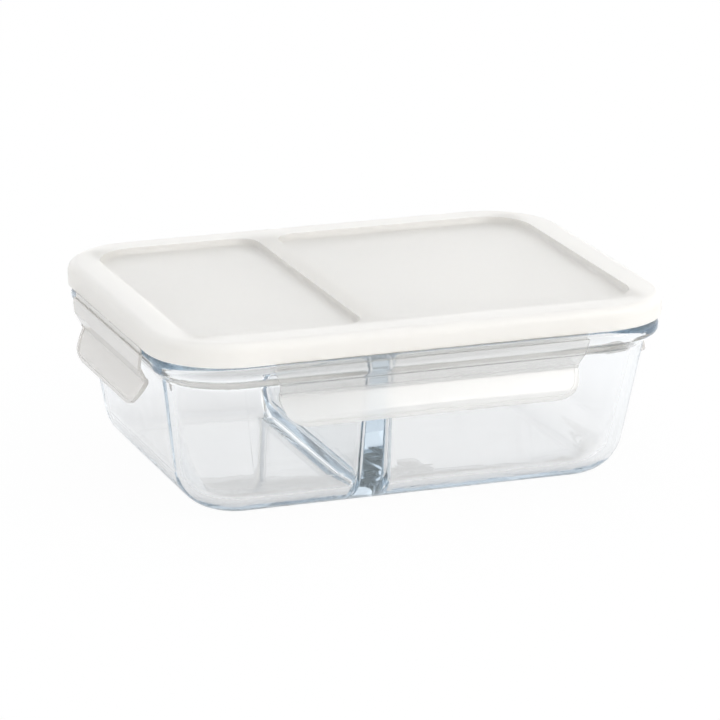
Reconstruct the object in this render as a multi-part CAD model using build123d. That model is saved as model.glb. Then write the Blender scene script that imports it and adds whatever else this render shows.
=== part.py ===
from build123d import *

import os
from math import radians, tan

# Two-compartment bento lunch box: a pressed glass dish and a plastic lid with four flap latches.
# Millimetres, +Z up. The origin is the centre of the dish's flat base, +X runs along the long side.
# One STEP file is written for each separate piece.

# ---- driving dimensions ----
LID_LENGTH = 210.0
LID_WIDTH = 162.0
LID_CORNER = 31.5
LID_TOP = 74.8
SKIRT_BOTTOM = 65.5

# ---- glass dish ----
DRAFT = 8.9  # wall slope in degrees
RIM_LENGTH = 206.8
RIM_WIDTH = 158.8
RIM_CORNER = 28.5
RIM_TOP = 64.5
RIM_START = 55.8  # where the rim starts to swell out of the wall
RIM_FULL = 59.5
RIM_SWELL = 3.0  # radius of the swell's two bends
RIM_ROUND = 3.0
WALL_LENGTH = 197.8  # outside size at the wall level
WALL_WIDTH = 149.8
WALL_LEVEL = 57.6
WALL_CORNER = 25.5
FOOT_CORNER = 24.0
FOOT_RADIUS = 18.0
GLASS = 4.4
BASE = 5.0
FLOOR_RADIUS = 12.0
INNER_CORNER = 21.0
DIVIDER_X = -18.2
DIVIDER_TOP = 61.5
DIVIDER_TOP_WIDTH = 6.0
DIVIDER_FOOT_WIDTH = 8.5
DIVIDER_CORNER = 5.0  # where it meets the walls and the floor
DIVIDER_ROUND = 2.2
SADDLE_REACH = 12.0  # clears the divider's corners
OPENING_ROUND = 1.0

# ---- lid ----
SHELL = 2.0
SHOULDER = 4.0
SKIRT_EDGE = 0.5
RING = 13.0  # from the lid's edge to the sunken panels
PANEL_DROP = 2.6
PANEL = 1.6
PANEL_FILLET = 1.5
TRAY_WALL = 1.5
BAR_X = DIVIDER_X
BAR_WIDTH = 8.6
BAR_CORNER = 9.0
BAR_WALL_HALF = 68.5
BAR_WALL_BOTTOM = 64.6
PLUG_BOTTOM = 62.6
CHANNEL_INSET = 4.4  # from the lid's edge to the channel that holds the seal
CHANNEL_WALL = 1.2
CHANNEL_BOTTOM = 67.5

# ---- silicone seal ----
SEAL_BASE = 3.0
SEAL_LIP = 2.4
SEAL_LIP_INSET = 5.2
SEAL_GAP = 0.3  # above the rim and above the divider
SEAL_END_GAP = 3.0  # from the cross bar's foot to the wall, past the curve at the foot of the wall
SEAL_PLAY = 0.1  # beside the channel walls

# ---- latches and film hinges: "out" is measured outwards from the skirt's face ----
LATCH_THICK = 1.3
LATCH_TOP = 63.35
LATCH_BOTTOM = 40.6
LATCH_WAIST_RADIUS = 8.0
LONG_LATCH = (64.0, 60.8, 10.5, -4.45)  # half width at the hinge, at the grip; corner radius; fold's depth
SHORT_LATCH = (44.0, 41.0, 12.0, -3.0)
GRIP_LEVEL = 54.2
BAND = [(-0.05, 63.9), (0.35, 62.0), (0.35, 57.8)]  # middle of the sheet, from the hinge down to the fold
FOLD_LEVEL = 51.4
GRIP = [(0.95, 43.4), (0.95, 40.0)]
LATCH_LINE_RADII = [0.9, 2.2, 1.4, 3.0]
BORDER = 1.6  # thicker edge round the grip
BORDER_EXTRA = 0.6
HINGE_OUT = -0.25
HINGE_LEVEL = 64.45
WEB_THICK = 0.45
WEB_REACH = 1.02  # from the hinge axis down to the web's lower edge
WEB_ROOT = 1.0  # depth of the web in the skirt
WEB_SHORTER = 1.0  # than the latch, at each end

seal_top = LID_TOP - SHELL
panel_top = LID_TOP - PANEL_DROP
panel_bottom = panel_top - PANEL
bar_channel = BAR_WIDTH - 2 * TRAY_WALL
slope = tan(radians(DRAFT))


def slab(length, width, corner, bottom, top):
    """Upright block with rounded corners, centred on the dish."""
    outline = RectangleRounded(length, width, corner)
    return extrude(Pos(0, 0, bottom) * outline, top - bottom)


def wall_size(level):
    """Outside length and width of the dish's sloping wall at a level."""
    grow = 2 * slope * (level - WALL_LEVEL)
    return WALL_LENGTH + grow, WALL_WIDTH + grow


def rounded_face(x_low, x_high, half_width, low_corner, high_corner, level):
    """Rectangle at a level, with one corner radius at its low X end and another at its high X end."""
    face = make_face(
        Polyline(
            (x_low, -half_width),
            (x_high, -half_width),
            (x_high, half_width),
            (x_low, half_width),
            close=True,
        )
    )
    low_points = face.vertices().filter_by_position(Axis.X, x_low - 1, x_low + 1)
    face = fillet(low_points, low_corner)
    high_points = face.vertices().filter_by_position(Axis.X, x_high - 0.01, x_high + 0.01)
    face = fillet(high_points, high_corner)
    return Pos(0, 0, level) * face


def dish_body():
    """Outside of the dish: sloping walls on a flat base with a large rounded foot, and the rim's bead."""
    foot_length, foot_width = wall_size(0)
    foot = RectangleRounded(foot_length, foot_width, FOOT_CORNER)
    top_length, top_width = wall_size(RIM_START)
    top = Pos(0, 0, RIM_START) * RectangleRounded(top_length, top_width, WALL_CORNER)
    full = Pos(0, 0, RIM_FULL) * RectangleRounded(RIM_LENGTH, RIM_WIDTH, RIM_CORNER)
    body = loft([foot, top], ruled=True)
    body += loft([top, full], ruled=True)
    body += slab(RIM_LENGTH, RIM_WIDTH, RIM_CORNER, RIM_FULL, RIM_TOP)
    body = fillet(body.edges().group_by(Axis.Z)[0], FOOT_RADIUS)
    body = fillet(body.edges().group_by(Axis.Z)[-1], RIM_ROUND)
    body = fillet(level_edges(body, RIM_FULL), RIM_SWELL)
    return fillet(level_edges(body, RIM_START), RIM_SWELL)


def dish_hollow():
    """Inside of the dish's outer walls and floor, as if there were no divider."""
    faces = []
    for level in (BASE, RIM_TOP + 1):
        length, width = wall_size(level)
        faces.append(Pos(0, 0, level) * RectangleRounded(length - 2 * GLASS, width - 2 * GLASS, INNER_CORNER))
    hollow = loft(faces, ruled=True)
    return fillet(hollow.edges().group_by(Axis.Z)[0], FLOOR_RADIUS)


def compartment(side):
    """Hollow of one compartment; side is -1 for the small one at low X and 1 for the large one."""
    foot_x = DIVIDER_X + side * DIVIDER_FOOT_WIDTH / 2
    top_x = DIVIDER_X + side * DIVIDER_TOP_WIDTH / 2
    end_x = side * RIM_LENGTH / 2
    section = make_face(
        Polyline(
            (foot_x, 0, BASE),
            (end_x, 0, BASE),
            (end_x, 0, RIM_TOP + 1),
            (top_x, 0, RIM_TOP + 1),
            close=True,
        )
    )
    hollow = dish_hollow() & extrude(section, RIM_WIDTH / 2, both=True)
    divider_face = hollow.faces().sort_by(Axis.X)[0 if side > 0 else -1]
    foot_and_sides = divider_face.edges().sort_by(Axis.Z)[:-1]
    return fillet(foot_and_sides, DIVIDER_CORNER)


def saddle():
    """What is missing over the divider, between the dish's walls."""
    faces = []
    for level in (DIVIDER_TOP, RIM_TOP + 1):
        half_width = wall_size(level)[1] / 2 - GLASS
        faces.append(Pos(DIVIDER_X, 0, level) * Rectangle(2 * SADDLE_REACH, 2 * half_width))
    return loft(faces, ruled=True)


def level_edges(shape, level):
    """Edges of a shape that lie flat at a level."""
    return shape.edges().filter_by_position(Axis.Z, level - 0.01, level + 0.01)


def around_opening(edge):
    """Whether an edge at the rim's top runs round the opening, not round the rim's outside."""
    return abs(edge.center().X) < WALL_LENGTH / 2 - 1 and abs(edge.center().Y) < WALL_WIDTH / 2 - 1


def glass_dish():
    dish = dish_body()
    for side in (-1, 1):
        dish -= compartment(side)
    dish -= saddle()
    dish = fillet(level_edges(dish, RIM_TOP).filter_by(around_opening), OPENING_ROUND)
    return fillet(level_edges(dish, DIVIDER_TOP), DIVIDER_ROUND)


def panel_outline(side, grow):
    """Outline of one sunken panel, grown outwards; side is -1 for the panel at low X."""
    outer_x = side * (LID_LENGTH / 2 - RING + grow)
    bar_x = BAR_X + side * (BAR_WIDTH / 2 - grow)
    half_width = LID_WIDTH / 2 - RING + grow
    outer_corner = LID_CORNER - RING + grow
    bar_corner = BAR_CORNER + grow
    if side < 0:
        return rounded_face(outer_x, bar_x, half_width, outer_corner, bar_corner, 0)
    return rounded_face(bar_x, outer_x, half_width, bar_corner, outer_corner, 0)


def loop(inset, thickness, bottom, top):
    """Upright wall that follows the lid's edge, at an inset from it."""
    outlines = []
    for edge_inset in (inset, inset + thickness):
        outline = RectangleRounded(
            LID_LENGTH - 2 * edge_inset, LID_WIDTH - 2 * edge_inset, LID_CORNER - edge_inset
        )
        outlines.append(outline)
    return extrude(Pos(0, 0, bottom) * (outlines[0] - outlines[1]), top - bottom)


def bar(half_width, half_length, bottom, top):
    """Block under the lid's bar, centred on it."""
    block = Box(2 * half_width, 2 * half_length, top - bottom, align=(Align.CENTER, Align.CENTER, Align.MIN))
    return Pos(BAR_X, 0, bottom) * block


def lid_panel():
    lid = slab(LID_LENGTH, LID_WIDTH, LID_CORNER, SKIRT_BOTTOM, LID_TOP)
    lid = fillet(lid.edges().group_by(Axis.Z)[-1], SHOULDER)
    lid = fillet(lid.edges().group_by(Axis.Z)[0], SKIRT_EDGE)
    hollow = slab(
        LID_LENGTH - 2 * SHELL, LID_WIDTH - 2 * SHELL, LID_CORNER - SHELL, SKIRT_BOTTOM - 1, seal_top
    )
    lid -= fillet(hollow.edges().group_by(Axis.Z)[-1], SHOULDER - SHELL)
    for side in (-1, 1):
        tray = Pos(0, 0, panel_bottom) * panel_outline(side, TRAY_WALL)
        lid += extrude(tray, seal_top - panel_bottom)
    lid += loop(RING - TRAY_WALL, TRAY_WALL, PLUG_BOTTOM, seal_top)
    lid += loop(CHANNEL_INSET - CHANNEL_WALL, CHANNEL_WALL, CHANNEL_BOTTOM, seal_top)
    lid += bar(BAR_WIDTH / 2, BAR_WALL_HALF, BAR_WALL_BOTTOM, seal_top)
    lid -= bar(bar_channel / 2, LID_WIDTH / 2 - CHANNEL_INSET, PLUG_BOTTOM, seal_top)
    for side in (-1, 1):
        pocket = extrude(Pos(0, 0, panel_top) * panel_outline(side, 0), PANEL_DROP + 1)
        lid -= fillet(pocket.edges().group_by(Axis.Z)[0], PANEL_FILLET)
    for latch in LATCHES:
        lid -= hinge_web(latch)
    return lid


def lid_seal():
    inset = CHANNEL_INSET + SEAL_PLAY
    width = RING - TRAY_WALL - CHANNEL_INSET - 2 * SEAL_PLAY
    base_bottom = seal_top - SEAL_BASE
    lip_bottom = RIM_TOP + SEAL_GAP
    lip_middle = LID_WIDTH / 2 - SEAL_LIP_INSET - SEAL_LIP / 2
    foot_half = wall_size(RIM_TOP)[1] / 2 - GLASS - SEAL_END_GAP
    seal = loop(inset, width, base_bottom, seal_top)
    seal += loop(SEAL_LIP_INSET, SEAL_LIP, lip_bottom, base_bottom)
    seal += bar(bar_channel / 2 - SEAL_PLAY, lip_middle, base_bottom, seal_top)
    seal += bar(SEAL_LIP / 2, lip_middle, lip_bottom, base_bottom)
    seal += bar(SEAL_LIP / 2, foot_half, DIVIDER_TOP + SEAL_GAP, lip_bottom)
    return seal


# Each latch: turn about Z from the front, skirt's distance from the centre, shape.
LATCHES = {
    "front": (0, LID_WIDTH / 2, LONG_LATCH),
    "rear": (180, LID_WIDTH / 2, LONG_LATCH),
    "left": (-90, LID_LENGTH / 2, SHORT_LATCH),
    "right": (90, LID_LENGTH / 2, SHORT_LATCH),
}


def section_plane(skirt):
    """Plane across the front latch: X outwards from the skirt's face, Y up."""
    return Plane(origin=(0, -skirt, 0), x_dir=(0, -1, 0), z_dir=(-1, 0, 0))


def latch_sheet(skirt, half_width, fold_out, thickness):
    """Latch section of a given thickness, drawn out along the hinge."""
    line = FilletPolyline(*BAND, (fold_out, FOLD_LEVEL), *GRIP, radius=LATCH_LINE_RADII)
    return extrude(section_plane(skirt) * trace(line, thickness), half_width, both=True)


def latch_outline(hinge_half, grip_half, corner, inset, top):
    """Face-on outline of a latch, made smaller by an inset."""
    side = grip_half - inset
    bottom = LATCH_BOTTOM + inset
    face = make_face(
        Polyline(
            (-hinge_half + inset, top),
            (-side, GRIP_LEVEL),
            (-side, bottom),
            (side, bottom),
            (side, GRIP_LEVEL),
            (hinge_half - inset, top),
            close=True,
        )
    )
    corners = face.vertices().group_by(Axis.Y)[0]
    face = fillet(corners, corner - inset)
    waist = face.vertices().filter_by_position(Axis.Y, GRIP_LEVEL - 0.01, GRIP_LEVEL + 0.01)
    return fillet(waist, LATCH_WAIST_RADIUS)


def latch(name):
    """Flap that hooks in under the rim and flares out to a grip with a thicker edge."""
    turn, skirt, (hinge_half, grip_half, corner, fold_out) = LATCHES[name]
    face_on = Plane(origin=(0, -skirt, 0), x_dir=(1, 0, 0), z_dir=(0, -1, 0))
    depth = 2 * skirt - LID_WIDTH / 2
    outline = latch_outline(hinge_half, grip_half, corner, 0, LATCH_TOP)
    inner = latch_outline(hinge_half, grip_half, corner, BORDER, LATCH_TOP + BORDER)
    below_waist = Pos(0, GRIP_LEVEL - BORDER - hinge_half) * Rectangle(4 * hinge_half, 2 * hinge_half)
    border = (outline - inner) & below_waist
    sheet = latch_sheet(skirt, hinge_half, fold_out, LATCH_THICK)
    flap = sheet & extrude(face_on * outline, depth, both=True)
    edge = latch_sheet(skirt, hinge_half, fold_out, LATCH_THICK + BORDER_EXTRA)
    flap += edge & extrude(face_on * border, depth, both=True)
    return Rot(0, 0, turn) * flap


def hinge_web(name):
    """Thin strip from the skirt down to the hinge line, rounded where the latch turns round it."""
    turn, skirt, (hinge_half, *_) = LATCHES[name]
    low = HINGE_LEVEL - WEB_REACH
    high = SKIRT_BOTTOM + WEB_ROOT
    middle = (low + high) / 2
    strip = Pos(HINGE_OUT, middle) * Rectangle(WEB_THICK, high - low)
    strip = fillet(strip.vertices().group_by(Axis.Y)[0], WEB_THICK / 2 - 0.01)
    web = extrude(section_plane(skirt) * strip, hinge_half - WEB_SHORTER, both=True)
    return Rot(0, 0, turn) * web


os.makedirs("parts", exist_ok=True)
export_step(glass_dish(), "parts/glass_dish.step")
export_step(lid_panel(), "parts/lid_panel.step")
export_step(lid_seal(), "parts/lid_seal.step")
for name in LATCHES:
    export_step(latch(name), f"parts/{name}_latch.step")
    export_step(hinge_web(name), f"parts/{name}_hinge_web.step")
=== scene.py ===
from math import cos, radians, sin

import bpy
from mathutils import Matrix, Vector


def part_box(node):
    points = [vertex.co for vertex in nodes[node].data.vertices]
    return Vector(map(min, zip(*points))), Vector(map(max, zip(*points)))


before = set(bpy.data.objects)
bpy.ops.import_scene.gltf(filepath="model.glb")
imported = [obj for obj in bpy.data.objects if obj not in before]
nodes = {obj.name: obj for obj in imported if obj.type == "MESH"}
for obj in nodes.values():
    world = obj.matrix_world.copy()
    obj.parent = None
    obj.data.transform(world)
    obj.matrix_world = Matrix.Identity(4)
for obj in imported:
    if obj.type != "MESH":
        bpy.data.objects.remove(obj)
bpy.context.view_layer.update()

# Lengths are in metres and angles in degrees, in the CAD's own frame: +X right, -Y front, +Z up.

# ---- the view ----
AZIMUTH = -20.0
ELEVATION = 16.28
ROLL = 0.1
DISTANCE = 1.7908
LENS = 224.74  # mm
SENSOR = 36  # mm
NEAR = 0.05
FAR = 50
AIM_HEIGHT = 0.02864  # on the object's own upright axis
AIM_RIGHT = -0.00046  # from there, in the picture's plane
AIM_UP = 0.00998


def camera():
    azimuth, elevation, roll = radians(AZIMUTH), radians(ELEVATION), radians(ROLL)
    back = Vector((sin(azimuth) * cos(elevation), -cos(azimuth) * cos(elevation), sin(elevation)))
    right = Vector((0, 0, 1)).cross(back).normalized()
    up = back.cross(right)
    right, up = cos(roll) * right + sin(roll) * up, cos(roll) * up - sin(roll) * right
    place = Vector((0, 0, AIM_HEIGHT)) + DISTANCE * back + AIM_RIGHT * right + AIM_UP * up
    data = bpy.data.cameras.new("camera")
    data.lens = LENS
    data.sensor_width = SENSOR
    data.clip_start = NEAR
    data.clip_end = FAR
    cam = bpy.data.objects.new("camera", data)
    cam.matrix_world = Matrix.Translation(place) @ Matrix((right, up, back)).transposed().to_4x4()
    bpy.context.scene.collection.objects.link(cam)
    bpy.context.scene.camera = cam
    bpy.context.scene.view_settings.view_transform = "Standard"


# ---- shader nodes ----
def new_material(name):
    material = bpy.data.materials.new(name)
    material.use_nodes = True
    tree = material.node_tree
    return material, tree, tree.nodes["Principled BSDF"]


def set_sockets(node, values):
    for socket, value in values.items():
        node.inputs[socket].default_value = value


def by_identifier(sockets, identifier):
    """A socket of a node that has several of the same name."""
    return next(socket for socket in sockets if socket.identifier == identifier)


def feed(tree, value, socket):
    """A socket takes another node's output, or a plain number."""
    if isinstance(value, bpy.types.NodeSocket):
        tree.links.new(value, socket)
    else:
        socket.default_value = value


def position(tree, space):
    return tree.nodes.new("ShaderNodeTexCoord").outputs[space]


def axes(tree, space):
    """X, Y and Z of a point in Object space, or of a ray's direction in the world's Generated space."""
    split = tree.nodes.new("ShaderNodeSeparateXYZ")
    tree.links.new(position(tree, space), split.inputs["Vector"])
    return split.outputs


def noise(tree, scale, detail):
    """Noise from 0 to 1 that stays on the object."""
    texture = tree.nodes.new("ShaderNodeTexNoise")
    set_sockets(texture, {"Scale": scale, "Detail": detail})
    tree.links.new(position(tree, "Object"), texture.inputs["Vector"])
    return texture.outputs["Fac"]


def ranged(tree, value, source, target, kind="LINEAR", clamp=True):
    """A value carried over from one range to another."""
    node = tree.nodes.new("ShaderNodeMapRange")
    node.interpolation_type = kind
    node.clamp = clamp
    set_sockets(node, dict(zip(("From Min", "From Max"), source)))
    set_sockets(node, dict(zip(("To Min", "To Max"), target)))
    tree.links.new(value, node.inputs["Value"])
    return node.outputs["Result"]


def calculate(tree, operation, *values):
    node = tree.nodes.new("ShaderNodeMath")
    node.operation = operation
    for value, socket in zip(values, node.inputs):
        feed(tree, value, socket)
    return node.outputs[0]


def tint(tree, value, color, change):
    """A colour that drifts by a small share as a value goes from 0 to 1."""
    blend = tree.nodes.new("ShaderNodeMix")
    blend.data_type = "RGBA"
    darker = by_identifier(blend.inputs, "A_Color")
    lighter = by_identifier(blend.inputs, "B_Color")
    darker.default_value = (*(channel * (1 - change) for channel in color), 1)
    lighter.default_value = (*(min(1, channel * (1 + change)) for channel in color), 1)
    tree.links.new(value, by_identifier(blend.inputs, "Factor_Float"))
    return by_identifier(blend.outputs, "Result_Color")


def bump(tree, shader, height, depth):
    """Relief of a real depth."""
    relief = tree.nodes.new("ShaderNodeBump")
    set_sockets(relief, {"Strength": 1.0, "Distance": depth})
    tree.links.new(height, relief.inputs["Height"])
    tree.links.new(relief.outputs["Normal"], shader.inputs["Normal"])


def mix_surface(tree, share, first, second):
    """A material's surface is the first shader, with this share of the second."""
    mix = tree.nodes.new("ShaderNodeMixShader")
    share_socket, first_socket, second_socket = mix.inputs
    feed(tree, share, share_socket)
    tree.links.new(first.outputs[0], first_socket)
    tree.links.new(second.outputs[0], second_socket)
    tree.links.new(mix.outputs[0], tree.nodes["Material Output"].inputs["Surface"])


# ---- materials ----
GLASS_IOR = 1.5
GLASS_COLOR = (0.22, 0.45, 0.62, 1)
GLASS_DENSITY = 4.6  # per metre, times what that colour lacks of white
WAVE_SCALE = 55  # the slow waves that pressing leaves in glass
WAVE_DEPTH = 0.00005

PLASTIC_IOR = 1.49
SCATTER_LENGTH = 0.004
FLOW_SCALE = 18  # the streaks of plastic that has flowed into its mould
FLOW_TINT = 0.008
FLOW_ROUGH = 0.03
GRAIN_SCALE = 1400  # the mould's fine blasted grain
GRAIN_DEPTH = 0.000002

RING = 0.013  # the lid's edge to its sunken panels
PANEL_FADE = 0.002  # to either side of that line
FOLD_LOW = 0.0515  # the heights between which a latch's band turns into its grip
FOLD_HIGH = 0.0545
COAT_ROUGH = 0.06


def glass():
    """Pressed soda glass: clear, and blue where a ray goes a long way through it."""
    material, tree, shader = new_material("clear_glass")
    looks = {"Base Color": (1, 1, 1, 1), "Roughness": 0.0, "IOR": GLASS_IOR, "Transmission Weight": 1.0}
    set_sockets(shader, looks)
    bump(tree, shader, noise(tree, WAVE_SCALE, detail=1.0), WAVE_DEPTH)
    volume = tree.nodes.new("ShaderNodeVolumeAbsorption")
    set_sockets(volume, {"Color": GLASS_COLOR, "Density": GLASS_DENSITY})
    tree.links.new(volume.outputs[0], tree.nodes["Material Output"].inputs["Volume"])
    return material


def milky(name, color, haze, glow, rough):
    """Moulded plastic that scatters light inside it (haze) and lets some through from behind (glow)."""
    material, tree, shader = new_material(name)
    flow = noise(tree, FLOW_SCALE, detail=2.0)
    drift = tint(tree, flow, color, FLOW_TINT)
    roughness = ranged(tree, flow, (0, 1), (rough - FLOW_ROUGH, rough + FLOW_ROUGH), clamp=False)
    tree.links.new(drift, shader.inputs["Base Color"])
    tree.links.new(roughness, shader.inputs["Roughness"])
    shader.subsurface_method = "BURLEY"
    set_sockets(shader, {
        "IOR": PLASTIC_IOR,
        "Subsurface Weight": haze,
        "Subsurface Radius": (1.0, 1.0, 1.0),
        "Subsurface Scale": SCATTER_LENGTH,
    })
    bump(tree, shader, noise(tree, GRAIN_SCALE, detail=3.0), GRAIN_DEPTH)
    scatter = tree.nodes.new("ShaderNodeBsdfTranslucent")
    tree.links.new(drift, scatter.inputs["Color"])
    mix_surface(tree, glow, shader, scatter)
    return material


def clear_band(material, band_clear, grip_clear):
    """One clearness in the band below a latch's hinge, another from its fold down, under a glossy skin."""
    tree = material.node_tree
    shader = tree.nodes["Principled BSDF"]
    height = axes(tree, "Object")["Z"]
    clear = ranged(tree, height, (FOLD_LOW, FOLD_HIGH), (grip_clear, band_clear), "SMOOTHSTEP")
    tree.links.new(clear, shader.inputs["Transmission Weight"])
    set_sockets(shader, {"Coat Weight": 1.0, "Coat Roughness": COAT_ROUGH})


def thin_panels(material, ring_clear, panel_clear):
    """The lid is clearer inside its ring, where its sunken panels are thin."""
    tree = material.node_tree
    place = axes(tree, "Object")
    low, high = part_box("lid_panel")
    masks = []
    for axis, length in (("X", high.x - low.x), ("Y", high.y - low.y)):
        edge = length / 2 - RING
        from_middle = calculate(tree, "ABSOLUTE", place[axis])
        masks.append(ranged(tree, from_middle, (edge - PANEL_FADE, edge + PANEL_FADE), (1, 0)))
    clear = ranged(tree, calculate(tree, "MULTIPLY", *masks), (0, 1), (ring_clear, panel_clear))
    tree.links.new(clear, tree.nodes["Principled BSDF"].inputs["Transmission Weight"])


def paint(name, material):
    mesh = nodes[name].data
    mesh.materials.clear()
    mesh.materials.append(material)


def paint_all():
    paint("glass_dish", glass())
    lid = milky("lid_plastic", color=(0.92, 0.904, 0.872), haze=0.9, glow=0.15, rough=0.3)
    thin_panels(lid, ring_clear=0.1, panel_clear=0.45)
    paint("lid_panel", lid)
    # The latches are all one plastic, but the front and rear latches get a whiter copy, painted light for
    # their lit side, and the left and right latches get a darker, browner copy, painted shade for the
    # shaded left side.
    long = milky("long_latch_plastic_painted_light", color=(0.99, 0.985, 0.97), haze=0.3, glow=0.12, rough=0.1)
    short = milky("short_latch_plastic_painted_shade", color=(0.87, 0.85, 0.82), haze=0.5, glow=0.15, rough=0.12)
    clear_band(long, band_clear=0.97, grip_clear=0.6)
    clear_band(short, band_clear=0.25, grip_clear=0.3)
    for side, plastic in (("front", long), ("rear", long), ("left", short), ("right", short)):
        paint(side + "_latch", plastic)
        paint(side + "_hinge_web", plastic)
    paint("lid_seal", milky("silicone", color=(0.99, 0.988, 0.98), haze=0.5, glow=0.5, rough=0.45))


# ---- the room ----
FLOOR_SIZE = 12.0
FLOOR_DROP = 0.0004  # under the dish, so that the two faces don't meet
FLOOR_GREY = 0.40
FLOOR_GLOW = 0.56
BACKDROP_SHARE = 0.93  # of pure white in what the camera sees of the floor

SKY_LOW = (1, 1, 1, 1)
SKY_HIGH = (0.80, 0.82, 0.85, 1)
SKY_BLEND = (0.25, 0.6)  # Z of a ray's direction at the end of the one and the start of the other
SKY_STRENGTH = 1.32
LEFT_SHARE = 0.65  # of that strength at the far left
LEFT_FADE = (-1, 0.2)  # X of a ray's direction there, and where the full strength begins

KEY_PLACE = (0.85, -0.80, 0.95)
KEY_AIM = (0.1, -0.05, 0.05)
KEY_SIZE = (0.8, 0.7)
KEY_POWER = 4  # watts
KEY_COLOR = (1.0, 0.96, 0.9)

GLASS_BOUNCES = 100  # light trapped in the glass by total reflection, which counts as glossy
DIFFUSE_BOUNCES = 12


def floor():
    """A floor that lights the glass from below softly, and that the camera sees almost white."""
    bpy.ops.mesh.primitive_plane_add(size=FLOOR_SIZE, location=(0, 0, -FLOOR_DROP))
    plane = bpy.context.object
    plane.name = "floor"
    material, tree, shader = new_material("white_floor")
    set_sockets(shader, {
        "Base Color": (FLOOR_GREY, FLOOR_GREY, FLOOR_GREY, 1),
        "Roughness": 0.9,
        "Specular IOR Level": 0.1,
        "Emission Color": (1, 1, 1, 1),
        "Emission Strength": FLOOR_GLOW,
    })
    seen = tree.nodes.new("ShaderNodeLightPath").outputs["Is Camera Ray"]
    share = calculate(tree, "MULTIPLY", seen, BACKDROP_SHARE)
    mix_surface(tree, share, shader, tree.nodes.new("ShaderNodeEmission"))
    plane.data.materials.append(material)


def studio():
    """White all round at eye level, greyer and bluer overhead, and dimmer on the left."""
    world = bpy.data.worlds.new("studio")
    bpy.context.scene.world = world
    world.use_nodes = True
    tree = world.node_tree
    way = axes(tree, "Generated")
    ramp = tree.nodes.new("ShaderNodeValToRGB")
    tree.links.new(way["Z"], ramp.inputs["Fac"])
    for stop, height, color in zip(ramp.color_ramp.elements, SKY_BLEND, (SKY_LOW, SKY_HIGH)):
        stop.position = height
        stop.color = color
    strength = ranged(tree, way["X"], LEFT_FADE, (SKY_STRENGTH * LEFT_SHARE, SKY_STRENGTH), "SMOOTHSTEP")
    background = tree.nodes["Background"]
    tree.links.new(ramp.outputs["Color"], background.inputs["Color"])
    tree.links.new(strength, background.inputs["Strength"])


def key_softbox():
    data = bpy.data.lights.new("key_softbox", "AREA")
    data.shape = "RECTANGLE"
    data.size, data.size_y = KEY_SIZE
    data.energy = KEY_POWER
    data.color = KEY_COLOR
    light = bpy.data.objects.new("key_softbox", data)
    light.location = KEY_PLACE
    light.rotation_euler = (Vector(KEY_AIM) - Vector(KEY_PLACE)).to_track_quat("-Z", "Y").to_euler()
    bpy.context.scene.collection.objects.link(light)


def light_paths():
    cycles = bpy.context.scene.cycles
    cycles.max_bounces = GLASS_BOUNCES
    cycles.transmission_bounces = GLASS_BOUNCES
    cycles.glossy_bounces = GLASS_BOUNCES
    cycles.diffuse_bounces = DIFFUSE_BOUNCES


camera()
light_paths()
floor()
studio()
key_softbox()
paint_all()
